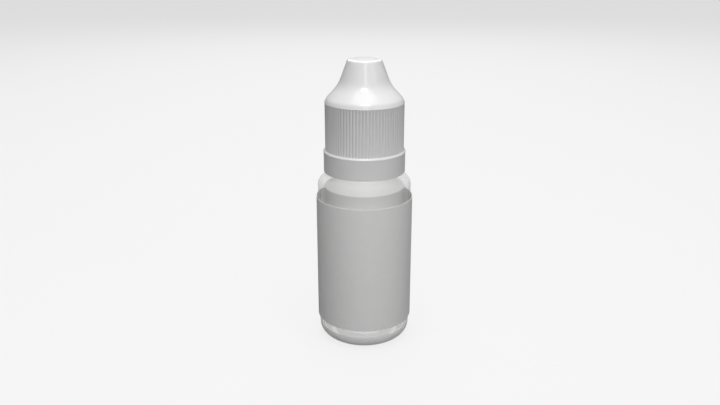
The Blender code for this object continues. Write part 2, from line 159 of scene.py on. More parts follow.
def finished_piece(name, mesh):
    """A smooth-shaded object whose crisp edges stay crisp."""
    mesh.shade_smooth()
    mesh.set_sharp_from_angle(angle=SHARP_EDGE)
    piece = bpy.data.objects.new(name, mesh)
    bpy.context.scene.collection.objects.link(piece)
    return piece


def with_parting_line(radius, height, angle):
    """The fine ridge that the two mould halves leave up the outside, at +X and -X."""
    on_body = radius > BODY_SKIN_RADIUS
    on_neck = height > LEDGE_HEIGHT and radius > NECK_SKIN_RADIUS
    on_line = abs(math.sin(angle)) < math.sin(math.pi / TURN_STEPS)
    return radius + PARTING_RIDGE * ((on_body or on_neck) and on_line), height


inner_radius = BODY_RADIUS - BODY_WALL
inner_corner = SHOULDER_CORNER - BODY_WALL
inner_rise = (inner_radius - NECK_BORE) * math.tan(SHOULDER_SLOPE)
ring_outer = BODY_RADIUS - HEEL_RADIUS
ring_inner = ring_outer - STANDING_RING
bottle_outline = rounded_outline(
    (0, PUSH_UP_DEPTH + BASE_THICKNESS),
    (ring_inner, BASE_THICKNESS, PUSH_UP_ROUNDING),
    (inner_radius, BASE_THICKNESS, INNER_ROUNDING),
    (inner_radius, inner_corner, INNER_ROUNDING),
    (NECK_BORE, inner_corner + inner_rise, BODY_WALL),
    (NECK_BORE, RIM_HEIGHT, RIM_INNER_ROUNDING),
    (NECK_RADIUS, RIM_HEIGHT, RIM_OUTER_ROUNDING),
    (NECK_RADIUS, BEAD_TOP, BEAD_FILLET),
    (BEAD_RADIUS, BEAD_BOTTOM + BEAD_LAND, BEAD_ROUNDING),
    (BEAD_RADIUS, BEAD_BOTTOM, BEAD_ROUNDING),
    (NECK_BASE_RADIUS, BEAD_BOTTOM, BEAD_ROUNDING),
    (NECK_BASE_RADIUS, LEDGE_HEIGHT, LEDGE_ROUNDING),
    (LEDGE_RADIUS, LEDGE_HEIGHT, LEDGE_ROUNDING),
    (BODY_RADIUS, SHOULDER_CORNER, SHOULDER_RADIUS),
    (BODY_RADIUS, 0, HEEL_RADIUS),
    (ring_inner, 0, RING_ROUNDING),
    (0, PUSH_UP_DEPTH),
)
bottle = turned_piece("bottle_wall", bottle_outline, form=with_parting_line)
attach(bottle, "bottle")
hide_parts("bottle")


def srgb(code):
    """An sRGB hex colour as the linear values, with full alpha, that a socket takes."""
    values = [int(code[i:i + 2], 16) / 255 for i in (1, 3, 5)]
    return [v / 12.92 if v < 0.04045 else ((v + 0.055) / 1.055) ** 2.4 for v in values] + [1.0]


def set_inputs(tree, node, inputs):
    """Gives each named input of a node a value, or a link from another node's output."""
    for name, value in inputs.items():
        if isinstance(value, bpy.types.NodeSocket):
            tree.links.new(value, node.inputs[name])
        else:
            node.inputs[name].default_value = value


def add_node(tree, kind, inputs=None, **settings):
    """Adds a node with its settings and its inputs."""
    node = tree.nodes.new(kind)
    for name, value in settings.items():
        setattr(node, name, value)
    set_inputs(tree, node, inputs or {})
    return node


def new_material(name):
    """A new material, its node tree and its Principled shader."""
    material = bpy.data.materials.new(name)
    material.use_nodes = True
    return material, material.node_tree, material.node_tree.nodes["Principled BSDF"]


# Natural polyethylene is waxy and lets light through: the wall is clear near its outer skin and milky inside,
# and milkier where it is thick, at the heel, the base and the neck. On the inner floor that whiter colour is
# partly painted light, which stands in for light falling on it from above. Below the label the inside is
# clear too, so the inner floor, with its painted light, shows through the wall as a bright crescent above the
# heel.
# Blow moulding leaves long faint flow waves in the wall and a fine matt grain from the mould. The grain is
# drawn coarser than the real one, so that it shows.
FLOW_WAVE = 3.5 * MM
FLOW_WAVE_HEIGHT = 0.03 * MM
FLOW_SQUEEZE = (1, 1, 0.25)
MOULD_GRAIN = 0.25 * MM
MOULD_GRAIN_HEIGHT = 0.01 * MM
POLYETHYLENE_IOR = 1.51
OUTER_SKIN_ALPHA = 0.32
OUTER_HEEL_ALPHA = 0.86
OUTER_HEEL_TOP = 3.4 * MM
INNER_SKIN_ALPHA = 1.0
INNER_HEEL_ALPHA = 0.0
INNER_HEEL_TOP = 6.4 * MM
HEEL_BLEND = 0.4 * MM


def natural_polyethylene(name, low, high):
    """Blow-moulded polyethylene with faint upright flow waves and a fine mould grain."""
    material, tree, shader = new_material(name)
    place = add_node(tree, "ShaderNodeTexCoord").outputs["Object"]
    stretched = add_node(tree, "ShaderNodeMapping", {"Vector": place, "Scale": FLOW_SQUEEZE})
    waves = add_node(tree, "ShaderNodeTexNoise", {
        "Vector": stretched.outputs["Vector"], "Scale": 1 / FLOW_WAVE, "Detail": 2.0})
    grain = add_node(tree, "ShaderNodeTexNoise", {"Vector": place, "Scale": 1 / MOULD_GRAIN, "Detail": 2.0})
    milky = add_node(tree, "ShaderNodeMix", {
        "Factor": waves.outputs["Fac"], "A": srgb(low), "B": srgb(high)}, data_type="RGBA")
    satin = add_node(tree, "ShaderNodeMapRange", {
        "Value": waves.outputs["Fac"], "To Min": 0.38, "To Max": 0.48})
    wave_bump = add_node(tree, "ShaderNodeBump", {
        "Height": waves.outputs["Fac"], "Strength": 0.25, "Distance": FLOW_WAVE_HEIGHT})
    skin_bump = add_node(tree, "ShaderNodeBump", {
        "Height": grain.outputs["Fac"], "Strength": 0.15, "Distance": MOULD_GRAIN_HEIGHT,
        "Normal": wave_bump.outputs["Normal"]})
    set_inputs(tree, shader, {
        "Base Color": milky.outputs["Result"],
        "Roughness": satin.outputs["Result"],
        "IOR": POLYETHYLENE_IOR,
        "Normal": skin_bump.outputs["Normal"],
    })
    return material


def cover_by_height(material, heel_alpha, heel_top, body_alpha):
    """Makes a skin more or less see-through at the heel than on the body above it."""
    tree = material.node_tree
    place = add_node(tree, "ShaderNodeTexCoord").outputs["Object"]
    up = add_node(tree, "ShaderNodeSeparateXYZ", {"Vector": place}).outputs["Z"]
    cover = add_node(tree, "ShaderNodeMapRange", {
        "Value": up, "From Min": heel_top - HEEL_BLEND, "From Max": heel_top,
        "To Min": heel_alpha, "To Max": body_alpha})
    set_inputs(tree, tree.nodes["Principled BSDF"], {"Alpha": cover.outputs["Result"]})


outer_skin = natural_polyethylene("natural polyethylene, outer skin", "#D1D2D1", "#D8D8D7")
cover_by_height(outer_skin, OUTER_HEEL_ALPHA, OUTER_HEEL_TOP, OUTER_SKIN_ALPHA)
inner_skin = natural_polyethylene("natural polyethylene, milky inside", "#D1D2D1", "#D8D8D7")
cover_by_height(inner_skin, INNER_HEEL_ALPHA, INNER_HEEL_TOP, INNER_SKIN_ALPHA)
# Whiter for the thick neck; on the inner floor the same whiter colour is also painted light from above.
thick_wall_and_painted_light = natural_polyethylene("natural polyethylene, thick wall, floor painted light", "#ECEDEC", "#F4F4F3")
skins = [outer_skin, inner_skin, thick_wall_and_painted_light]
for skin in skins:
    bottle.data.materials.append(skin)
# The outline starts in the middle of the inner floor: its first rows are the floor's dome, and those after
# it the inside up to the rim.
heights = [height for radius, height in bottle_outline]
rim_row = heights.index(max(heights))
floor_row = heights.index(min(heights[:rim_row]))
inside_faces = rim_row * TURN_STEPS
base_faces = floor_row * TURN_STEPS
# The inner floor's dome takes the whiter skin as painted light from above; the neck outside takes it for its
# thick wall.
for face in bottle.data.polygons:
    inside = face.index < inside_faces
    on_neck = face.center.z > LEDGE_HEIGHT and not inside
    if face.index < base_faces or on_neck:
        face.material_index = skins.index(thick_wall_and_painted_light)
    elif inside:
        face.material_index = skins.index(inner_skin)

# Neck thread
# A single-start thread in the neck's own wall, formed by the mould. Its ends run out into the neck.
# It is drawn as a swept ridge whose root is sunk a little into the neck.

THREAD_PITCH = 2.5 * MM
THREAD_START = BEAD_TOP + 1.5 * MM
NECK_THREAD_TURNS = 1.75
NECK_THREAD_CREST = NECK_RADIUS + 0.55 * MM
THREAD_ROOT_WIDTH = 1.3 * MM
THREAD_CREST_WIDTH = 0.7 * MM
THREAD_SINK = 0.08 * MM
THREAD_RUN_OUT = math.radians(35)
THREAD_END_SHARE = 0.04
THREAD_STEPS_PER_TURN = 96


def swept_piece(name, sections):
    """A closed section carried along a path, given by its points at each step, with both ends capped."""
    size = len(sections[0])
    vertices = [point for section in sections for point in section]
    last = len(vertices) - size
    faces = [tuple(range(size)), tuple(range(last + size - 1, last - 1, -1))]
    for start in range(0, last, size):
        for side in range(size):
            after = (side + 1) % size
            faces.append((start + side, start + size + side, start + size + after, start + after))
    mesh = bpy.data.meshes.new(name)
    mesh.from_pydata(vertices, [], faces)
    shape = bmesh.new()
    shape.from_mesh(mesh)
    bmesh.ops.recalc_face_normals(shape, faces=shape.faces)
    shape.to_mesh(mesh)
    shape.free()
    return finished_piece(name, mesh)


def thread_ridge(name, root, crest, start, turns):
    """A helical ridge between two radii, which rises one pitch a turn and fades at its ends."""
    total = turns * math.tau
    count = round(turns * THREAD_STEPS_PER_TURN)
    sunk = root + math.copysign(THREAD_SINK, root - crest)
    sections = []
    for i in range(count + 1):
        angle = total * i / count
        run_out = min(1, angle / THREAD_RUN_OUT, (total - angle) / THREAD_RUN_OUT)
        fade = THREAD_END_SHARE + (1 - THREAD_END_SHARE) * math.sin(run_out * math.pi / 2)
        middle = start + THREAD_PITCH * angle / math.tau
        tip = root + (crest - root) * fade
        half_root = THREAD_ROOT_WIDTH * fade / 2
        half_crest = THREAD_CREST_WIDTH * fade / 2
        sections.append([
            turned_point(sunk, middle - half_root, angle),
            turned_point(tip, middle - half_crest, angle),
            turned_point(tip, middle + half_crest, angle),
            turned_point(sunk, middle + half_root, angle),
        ])
    return swept_piece(name, sections)


neck_thread = thread_ridge("neck_thread", NECK_RADIUS, NECK_THREAD_CREST, THREAD_START, NECK_THREAD_TURNS)
neck_thread.data.materials.append(thick_wall_and_painted_light)
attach(neck_thread, "bottle")

# Pinch-off scar
# Where the mould closed on the hot tube it leaves a low welded bar across the pushed-up base.
# It stops short of the standing ring, so the bottle stands flat.

SCAR_LENGTH = 8.0 * MM
SCAR_WIDTH = 0.7 * MM
SCAR_PROUD = 0.22 * MM
SCAR_SINK = 0.1 * MM
SCAR_END_SHARE = 0.02
SCAR_BLUNTNESS = 6
SCAR_STEPS = 24

scar_sections = []
for i in range(SCAR_STEPS + 1):
    along = (i / SCAR_STEPS - 0.5) * SCAR_LENGTH
    dome = PUSH_UP_DEPTH * (1 - abs(along) / ring_inner)
    fade = math.sqrt(max(SCAR_END_SHARE, 1 - (2 * i / SCAR_STEPS - 1) ** SCAR_BLUNTNESS))
    half = SCAR_WIDTH / 2 * fade
    root = dome + SCAR_SINK
    crest = dome - SCAR_PROUD * fade
    scar_sections.append([
        (along, -half, root), (along, -half / 2, crest), (along, half / 2, crest), (along, half, root),
    ])
pinch_off_scar = swept_piece("pinch_off_scar", scar_sections)
pinch_off_scar.data.materials.append(outer_skin)
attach(pinch_off_scar, "bottle")

# Label
# A blank white film sleeve wrapped round the body. Its two cut ends almost meet behind the bottle.
# The film is stiff and satin, and its die-cut edges are square.

LABEL_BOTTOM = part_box("label")[0].z
LABEL_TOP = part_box("label")[1].z
LABEL_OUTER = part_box("label")[1].x
LABEL_THICKNESS = 0.12 * MM
LABEL_SEAM = 0.5 * MM
LABEL_STEPS = 240
LABEL_EDGE = 0.03 * MM

seam_angle = LABEL_SEAM / LABEL_OUTER
film_edge = rounded_outline(
    (LABEL_OUTER - LABEL_THICKNESS, LABEL_TOP, LABEL_EDGE),
    (LABEL_OUTER, LABEL_TOP, LABEL_EDGE),
    (LABEL_OUTER, LABEL_BOTTOM, LABEL_EDGE),
    (LABEL_OUTER - LABEL_THICKNESS, LABEL_BOTTOM, LABEL_EDGE),
)
label_sections = []
for i in range(LABEL_STEPS + 1):
    angle = math.pi / 2 + seam_angle / 2 + (math.tau - seam_angle) * i / LABEL_STEPS
    label_sections.append([turned_point(radius, height, angle) for radius, height in film_edge])
label = swept_piece("label_film", label_sections)
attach(label, "bottle")
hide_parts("label")

# Coated white film has an even satin face, with a faint mottle where the adhesive sits under it.
# The film's fine grain is drawn coarser than the real one, so that it shows.
ADHESIVE_MOTTLE = 2.2 * MM
FILM_GRAIN = 0.35 * MM
FILM_GRAIN_HEIGHT = 0.01 * MM
FILM_IOR = 1.5

label_film, tree, shader = new_material("coated white label film")
place = add_node(tree, "ShaderNodeTexCoord").outputs["Object"]
mottle = add_node(tree, "ShaderNodeTexNoise", {"Vector": place, "Scale": 1 / ADHESIVE_MOTTLE, "Detail": 3.0})
grain = add_node(tree, "ShaderNodeTexNoise", {"Vector": place, "Scale": 1 / FILM_GRAIN, "Detail": 2.0})
white = add_node(tree, "ShaderNodeMix", {
    "Factor": mottle.outputs["Fac"], "A": srgb("#D8D8D8"), "B": srgb("#DEDEDD")}, data_type="RGBA")
satin = add_node(tree, "ShaderNodeMapRange", {"Value": mottle.outputs["Fac"], "To Min": 0.46, "To Max": 0.56})
film_bump = add_node(tree, "ShaderNodeBump", {
    "Height": grain.outputs["Fac"], "Strength": 0.12, "Distance": FILM_GRAIN_HEIGHT})
set_inputs(tree, shader, {
    "Base Color": white.outputs["Result"],
    "Roughness": satin.outputs["Result"],
    "IOR": FILM_IOR,
    "Normal": film_bump.outputs["Normal"],
})
label.data.materials.append(label_film)

# Dropper plug
# A soft polyethylene moulding pushed into the neck: a barrel with two sealing beads, a flange on the rim
# and a tapered nozzle with a drilled orifice that sets the size of the drop.

SEAT_GAP = 0.3 * MM
PLUG_FLANGE = 1.0 * MM
PLUG_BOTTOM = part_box("dropper_plug")[0].z
NOZZLE_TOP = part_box("dropper_plug")[1].z
BARREL_RADIUS = 4.18 * MM
BARREL_BEAD = 0.1 * MM
PLUG_WALL = 0.85 * MM
NOZZLE_ROOT = 3.2 * MM
NOZZLE_TIP = 1.7 * MM
ORIFICE = 0.65 * MM
ORIFICE_LENGTH = 1.8 * MM
ORIFICE_ROUNDING = 0.15 * MM
NOZZLE_TIP_ROUNDING = 0.5 * MM
PLUG_FILLET = 0.4 * MM
FLANGE_ROUNDING = 0.2 * MM
PLUG_EDGE = 0.1 * MM
BARREL_LEAD_IN = 0.3 * MM
BARREL_BEAD_PLACES = (4, 2)
BARREL_BEAD_SPACES = 6
HIDDEN_TURN_STEPS = 144

plug_seat = RIM_HEIGHT + SEAT_GAP
flange_top = plug_seat + PLUG_FLANGE
bead_step = (plug_seat - PLUG_BOTTOM) / BARREL_BEAD_SPACES
barrel_beads = []
for place_up in BARREL_BEAD_PLACES:
    middle = PLUG_BOTTOM + place_up * bead_step
    barrel_beads += [
        (BARREL_RADIUS, middle + bead_step / 2),
        (BARREL_RADIUS + BARREL_BEAD, middle, PLUG_FILLET),
        (BARREL_RADIUS, middle - bead_step / 2),
    ]
plug = turned_piece("dropper_plug_moulding", rounded_outline(
    (ORIFICE, NOZZLE_TOP, ORIFICE_ROUNDING),
    (NOZZLE_TIP, NOZZLE_TOP, NOZZLE_TIP_ROUNDING),
    (NOZZLE_ROOT, flange_top, PLUG_FILLET),
    (NECK_RADIUS, flange_top, FLANGE_ROUNDING),
    (NECK_RADIUS, plug_seat, PLUG_EDGE),
    (BARREL_RADIUS, plug_seat, PLUG_EDGE),
    *barrel_beads,
    (BARREL_RADIUS, PLUG_BOTTOM + bead_step, BARREL_LEAD_IN),
    (BARREL_RADIUS - PLUG_WALL / 2, PLUG_BOTTOM, PLUG_EDGE),
    (BARREL_RADIUS - PLUG_WALL, PLUG_BOTTOM, PLUG_EDGE),
    (BARREL_RADIUS - PLUG_WALL, plug_seat - PLUG_WALL, PLUG_FILLET),
    (NOZZLE_ROOT - PLUG_WALL, flange_top, PLUG_FILLET),
    (NOZZLE_TIP - PLUG_WALL, NOZZLE_TOP - ORIFICE_LENGTH),
    (ORIFICE, NOZZLE_TOP - ORIFICE_LENGTH + ORIFICE / 2),
), closed=True, steps=HIDDEN_TURN_STEPS)
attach(plug, "bottle")
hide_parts("dropper_plug")

# Soft polyethylene is whiter than the bottle where it is thick, with a waxy, slightly dull skin.
soft_polyethylene, tree, shader = new_material("soft moulded polyethylene")
place = add_node(tree, "ShaderNodeTexCoord").outputs["Object"]
cloud = add_node(tree, "ShaderNodeTexNoise", {"Vector": place, "Scale": 1 / FLOW_WAVE, "Detail": 2.0})
waxy = add_node(tree, "ShaderNodeMix", {
    "Factor": cloud.outputs["Fac"], "A": srgb("#E4E4E1"), "B": srgb("#EEEEEB")}, data_type="RGBA")
dull = add_node(tree, "ShaderNodeMapRange", {"Value": cloud.outputs["Fac"], "To Min": 0.36, "To Max": 0.46})
set_inputs(tree, shader, {
    "Base Color": waxy.outputs["Result"],
    "Roughness": dull.outputs["Result"],
    "IOR": POLYETHYLENE_IOR,
    "Subsurface Weight": 0.3,
    "Subsurface Scale": 1.0 * MM,
})
plug.data.materials.append(soft_polyethylene)

# Tamper band
# The ring that stays on the neck when the cap is first opened: white polypropylene, moulded in one with
# the inner cap. A hook under the neck's bead holds it, and its top ends in a rolled lip round the skirt.

BAND_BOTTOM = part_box("tamper_band")[0].z
BAND_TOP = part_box("tamper_band")[1].z
LIP_BEAD = 0.07 * MM
LIP_BEAD_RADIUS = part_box("tamper_band")[1].x
LIP_BEAD_HEIGHT = 1.2 * MM
LIP_BEAD_ROUNDING = 0.12 * MM
LIP_SLOPE_DROP = 0.38 * MM
LIP_LAND = 0.04 * MM
LIP_WALL = 0.25 * MM
LIP_FILLET = 0.2 * MM
BAND_RADIUS = LIP_BEAD_RADIUS - LIP_BEAD
BAND_EDGE = 0.12 * MM
BAND_INNER_EDGE = 0.1 * MM
LIP_BORE = BAND_RADIUS - LIP_WALL
BAND_BORE = BEAD_RADIUS + SEAT_GAP
HOOK_GRIP = 0.55 * MM
HOOK_BORE = BEAD_RADIUS - HOOK_GRIP
HOOK_HEIGHT = 1.4 * MM
HOOK_LAND = 0.56 * MM
HOOK_ROUNDING = 0.15 * MM
GROOVE_DROP = 0.25 * MM
GROOVE_FLOOR = BEAD_TOP - GROOVE_DROP
BRIDGE_COUNT = 8
BRIDGE_WIDTH = 0.7 * MM
BRIDGE_THICKNESS = 0.5 * MM
BRIDGE_INNER = 7.45 * MM
BRIDGE_ROOT = 0.3 * MM
BRIDGE_EDGE = 0.08 * MM

hook_top = BAND_BOTTOM + HOOK_HEIGHT
lip_bottom = BAND_TOP - LIP_BEAD_HEIGHT
band = turned_piece("tamper_band_ring", rounded_outline(
    (LIP_BORE, BAND_TOP),
    (LIP_BORE + LIP_LAND, BAND_TOP),
    (LIP_BEAD_RADIUS, BAND_TOP - LIP_SLOPE_DROP, LIP_BEAD_ROUNDING),
    (BAND_RADIUS, lip_bottom),
    (BAND_RADIUS, BAND_BOTTOM, BAND_EDGE),
    (BAND_BORE, BAND_BOTTOM, BAND_INNER_EDGE),
    (HOOK_BORE, hook_top - HOOK_LAND, HOOK_ROUNDING),
    (HOOK_BORE, hook_top, BAND_INNER_EDGE),
    (BAND_BORE, hook_top, BAND_INNER_EDGE),
    (BAND_BORE, GROOVE_FLOOR, BAND_INNER_EDGE),
    (LIP_BORE, GROOVE_FLOOR, LIP_FILLET),
), closed=True)
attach(band, "tamper_band")
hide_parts("tamper_band")


def ring_of_blocks(name, count, inner, outer, width, bottom, top, phase, rounding):
    """Blocks with softened edges set round the axis, each running from the inner to the outer radius."""
    shape = bmesh.new()
    for i in range(count):
        angle = phase + math.tau * i / count
        radial = Vector((math.cos(angle), math.sin(angle), 0))
        across = Vector((-math.sin(angle), math.cos(angle), 0))
        block = bmesh.ops.create_cube(shape, size=1)["verts"]
        for vertex in block:
            reach = (inner + outer) / 2 + vertex.co.x * (outer - inner)
            height = (bottom + top) / 2 + vertex.co.z * (top - bottom)
            vertex.co = radial * reach + across * vertex.co.y * width + Vector((0, 0, height))
    bmesh.ops.bevel(shape, geom=shape.edges[:], offset=rounding, segments=2, affect="EDGES", profile=0.5)
    mesh = bpy.data.meshes.new(name)
    shape.to_mesh(mesh)
    shape.free()
    return finished_piece(name, mesh)


bridges = ring_of_blocks(
    "bridge_stubs", BRIDGE_COUNT, inner=BRIDGE_INNER, outer=BAND_BORE + BRIDGE_ROOT, width=BRIDGE_WIDTH,
    bottom=BEAD_TOP - BRIDGE_THICKNESS, top=BEAD_TOP, phase=0, rounding=BRIDGE_EDGE)
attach(bridges, "tamper_band")

# White polypropylene is injected against polished steel, so it comes out opaque, even and glossy, with faint
# flow marks and the mould's fine grain, drawn as coarse as the bottle's. Of the three mouldings of it, the
# cap's shell is the glossiest.
POLYPROPYLENE_IOR = 1.49
POLISHED_GRAIN_HEIGHT = 0.008 * MM


def white_polypropylene(name, low, high, roughness_low, roughness_high):
    """Injection-moulded white polypropylene between two tints and two roughnesses."""
    material, tree, shader = new_material(name)
    place = add_node(tree, "ShaderNodeTexCoord").outputs["Object"]
    flow = add_node(tree, "ShaderNodeTexNoise", {"Vector": place, "Scale": 1 / FLOW_WAVE, "Detail": 2.0})
    grain = add_node(tree, "ShaderNodeTexNoise", {"Vector": place, "Scale": 1 / MOULD_GRAIN, "Detail": 2.0})
    colour = add_node(tree, "ShaderNodeMix", {
        "Factor": flow.outputs["Fac"], "A": srgb(low), "B": srgb(high)}, data_type="RGBA")
    gloss = add_node(tree, "ShaderNodeMapRange", {
        "Value": flow.outputs["Fac"], "To Min": roughness_low, "To Max": roughness_high})
    bump = add_node(tree, "ShaderNodeBump", {
        "Height": grain.outputs["Fac"], "Strength": 0.1, "Distance": POLISHED_GRAIN_HEIGHT})
    set_inputs(tree, shader, {
        "Base Color": colour.outputs["Result"],
        "Roughness": gloss.outputs["Result"],
        "IOR": POLYPROPYLENE_IOR,
        "Normal": bump.outputs["Normal"],
    })
    return material


band_polypropylene = white_polypropylene(
    "white polypropylene, moulded band", "#D9D9D9", "#DFDFDF",
    roughness_low=0.32, roughness_high=0.42)
band.data.materials.append(band_polypropylene)
bridges.data.materials.append(band_polypropylene)

# Inner cap
# The screw cap proper, white polypropylene, which the shell hides. It screws on the neck, closes over the
# nozzle with a pin in the orifice, and carries eight teeth that the shell's lugs drop between.

INNER_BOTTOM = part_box("inner_cap")[0].z
INNER_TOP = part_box("inner_cap")[1].z
THREAD_ROOM = 0.8 * MM
INNER_WALL = 1.05 * MM
INNER_BORE = NECK_RADIUS + THREAD_ROOM
INNER_RADIUS = INNER_BORE + INNER_WALL
INNER_EDGE = 0.15 * MM
INNER_CORNER = 0.2 * MM
SNAP_RING_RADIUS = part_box("inner_cap")[1].x
SNAP_RING_RISE = 4.0 * MM
SNAP_RING_BOTTOM = INNER_BOTTOM + SNAP_RING_RISE
SNAP_RING_HEIGHT = 0.8 * MM
SNAP_RING_EDGE = 0.08 * MM
SNAP_RING_FILLET = 0.1 * MM
INNER_SHOULDER = 1.2 * MM
INNER_SHOULDER_ROUNDING = 0.5 * MM
INNER_CONE_FILLET = 0.4 * MM
INNER_NOSE_ROUNDING = 0.7 * MM
INNER_ROOF_FILLET = 0.3 * MM
INNER_CONE_WALL = 0.8 * MM
NOZZLE_ROOM = 0.45 * MM
SEAL_PIN_RADIUS = 0.45 * MM
SEAL_PIN_DEPTH = 1.0 * MM
SEAL_PIN_FILLET = 0.1 * MM
SEAL_PIN_ROUNDING = 0.25 * MM
TOOTH_COUNT = 8
TOOTH_HEIGHT = 1.0 * MM
TOOTH_WIDTH = 1.6 * MM
TOOTH_LENGTH = 2.2 * MM
TOOTH_INSET = 0.525 * MM
TOOTH_ROOT = 0.2 * MM
TOOTH_EDGE = 0.12 * MM
CAP_THREAD_TURNS = 1.5
CAP_THREAD_CREST = NECK_RADIUS + 0.25 * MM

inner_seat = flange_top + SEAT_GAP
shoulder_top = inner_seat + INNER_SHOULDER
inner_roof = INNER_TOP - INNER_CONE_WALL
pin_bottom = NOZZLE_TOP - SEAL_PIN_DEPTH
ring_top = SNAP_RING_BOTTOM + SNAP_RING_HEIGHT
inner_cap = turned_piece("inner_cap_moulding", rounded_outline(
    (0, INNER_TOP),
    (NOZZLE_TIP + NOZZLE_ROOM + INNER_CONE_WALL, INNER_TOP, INNER_NOSE_ROUNDING),
    (NOZZLE_ROOT + NOZZLE_ROOM + INNER_CONE_WALL, shoulder_top, INNER_CONE_FILLET),
    (INNER_RADIUS, shoulder_top, INNER_SHOULDER_ROUNDING),
    (INNER_RADIUS, ring_top + SNAP_RING_RADIUS - INNER_RADIUS, SNAP_RING_FILLET),
    (SNAP_RING_RADIUS, ring_top, SNAP_RING_EDGE),
    (SNAP_RING_RADIUS, SNAP_RING_BOTTOM, SNAP_RING_EDGE),
    (INNER_RADIUS, SNAP_RING_BOTTOM, SNAP_RING_EDGE),
    (INNER_RADIUS, INNER_BOTTOM, INNER_EDGE),
    (INNER_BORE, INNER_BOTTOM, INNER_EDGE),
    (INNER_BORE, inner_seat, INNER_CORNER),
    (NOZZLE_ROOT + NOZZLE_ROOM, inner_seat, INNER_CORNER),
    (NOZZLE_TIP + NOZZLE_ROOM, inner_roof, INNER_ROOF_FILLET),
    (SEAL_PIN_RADIUS, inner_roof, SEAL_PIN_FILLET),
    (SEAL_PIN_RADIUS, pin_bottom, SEAL_PIN_ROUNDING),
    (0, pin_bottom),
), steps=HIDDEN_TURN_STEPS)
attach(inner_cap, "inner_cap")
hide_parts("inner_cap")

cap_thread = thread_ridge(
    "cap_thread", INNER_BORE, CAP_THREAD_CREST, THREAD_START + THREAD_PITCH / 2, CAP_THREAD_TURNS)
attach(cap_thread, "inner_cap")

tooth_outer = INNER_RADIUS - TOOTH_INSET
tooth_inner = tooth_outer - TOOTH_LENGTH
tooth_top = shoulder_top + TOOTH_HEIGHT
teeth = ring_of_blocks(
    "drive_teeth", TOOTH_COUNT, inner=tooth_inner, outer=tooth_outer, width=TOOTH_WIDTH,
    bottom=shoulder_top - TOOTH_ROOT, top=tooth_top, phase=0, rounding=TOOTH_EDGE)
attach(teeth, "inner_cap")

inner_polypropylene = white_polypropylene(
    "white polypropylene, moulded inner cap", "#D9D9D9", "#DFDFDF",
    roughness_low=0.35, roughness_high=0.45)
for piece in (inner_cap, cap_thread, teeth):
    piece.data.materials.append(inner_polypropylene)

# Outer cap
# The shell that the hand holds, white polypropylene: a skirt of fine upright ribs, a flared shoulder and
# a tapered nose. It is pressed down to turn the inner cap, and a catch inside keeps the two together.

CAP_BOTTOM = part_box("outer_cap")[0].z
CAP_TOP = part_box("outer_cap")[1].z
CAP_RIM_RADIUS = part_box("outer_cap")[1].x
CAP_RIM_PROUD = 0.06 * MM
CAP_RIM_DROP = 0.62 * MM
CAP_RIM_SLOPE = math.radians(70)
SKIRT_RADIUS = CAP_RIM_RADIUS - CAP_RIM_PROUD
SLIDING_GAP = 0.12 * MM
SKIRT_BORE = SNAP_RING_RADIUS + SLIDING_GAP
SKIRT_EDGE = 0.15 * MM
SKIRT_INNER_ROUNDING = 0.5 * MM
SKIRT_TOLERANCE = 0.01 * MM
RIB_COUNT = 78
RIB_DEPTH = 0.11 * MM
RIB_FULLNESS = 2
RIB_STEPS = 8
CAP_CORNER_RISE = 3.52 * MM
CAP_CORNER = shoulder_top + CAP_CORNER_RISE
CAP_SHOULDER_SLOPE = math.radians(47)
CAP_SHOULDER_RADIUS = 3.0 * MM
CAP_WAIST_RADIUS = 8.4 * MM
CAP_CONE_ANGLE = math.radians(20.5)
CAP_WALL = 1.1 * MM
CAP_ROOF_THICKNESS = 1.2 * MM
CAP_ROOF_FILLET = 0.4 * MM
CAP_TOP_RADIUS = 3.82 * MM
CAP_TOP_ROUNDING = 0.65 * MM
CATCH_PROUD = 0.3 * MM
CATCH_HEIGHT = 0.9 * MM
CATCH_RAMP_ROUNDING = 0.2 * MM
CATCH_EDGE = 0.08 * MM
LUG_ROOT = 0.4 * MM


def meeting_point(radius_a, height_a, fall_a, radius_b, height_b, fall_b):
    """Where two straight outline lines cross, each given by a point and its fall per unit of radius."""
    radius = (height_a - height_b + fall_a * radius_a - fall_b * radius_b) / (fall_a - fall_b)
    return radius, height_a - fall_a * (radius - radius_a)


def with_ribs(radius, height, angle):
    """Sets the grooves between the ribs into the skirt, from its bottom edge up to the rim."""
    if radius < SKIRT_RADIUS - SKIRT_TOLERANCE or height > rib_top:
        return radius, height
    groove = (0.5 - 0.5 * math.cos(RIB_COUNT * angle)) ** RIB_FULLNESS
    return radius - RIB_DEPTH * groove, height


cone_fall = 1 / math.tan(CAP_CONE_ANGLE)
shoulder_fall = math.tan(CAP_SHOULDER_SLOPE)
rim_fall = math.tan(CAP_RIM_SLOPE)
rim_height = CAP_CORNER - CAP_RIM_DROP
rib_top = rim_height - RIB_DEPTH
waist = meeting_point(CAP_TOP_RADIUS, CAP_TOP, cone_fall, SKIRT_RADIUS, CAP_CORNER, shoulder_fall)
corner = meeting_point(SKIRT_RADIUS, CAP_CORNER, shoulder_fall, CAP_RIM_RADIUS, rim_height, rim_fall)
cap_roof = CAP_TOP - CAP_ROOF_THICKNESS
inner_cone_top = CAP_TOP_RADIUS - CAP_WALL / math.cos(CAP_CONE_ANGLE)
shoulder_wall = CAP_WALL / math.cos(CAP_SHOULDER_SLOPE)
skirt_inner_corner = CAP_CORNER + (SKIRT_RADIUS - SKIRT_BORE) * shoulder_fall - shoulder_wall
inner_waist = meeting_point(inner_cone_top, CAP_TOP, cone_fall, SKIRT_BORE, skirt_inner_corner, shoulder_fall)
roof_edge = inner_cone_top + CAP_ROOF_THICKNESS * math.tan(CAP_CONE_ANGLE)
catch_top = SNAP_RING_BOTTOM - SEAT_GAP
catch = SKIRT_BORE - CATCH_PROUD
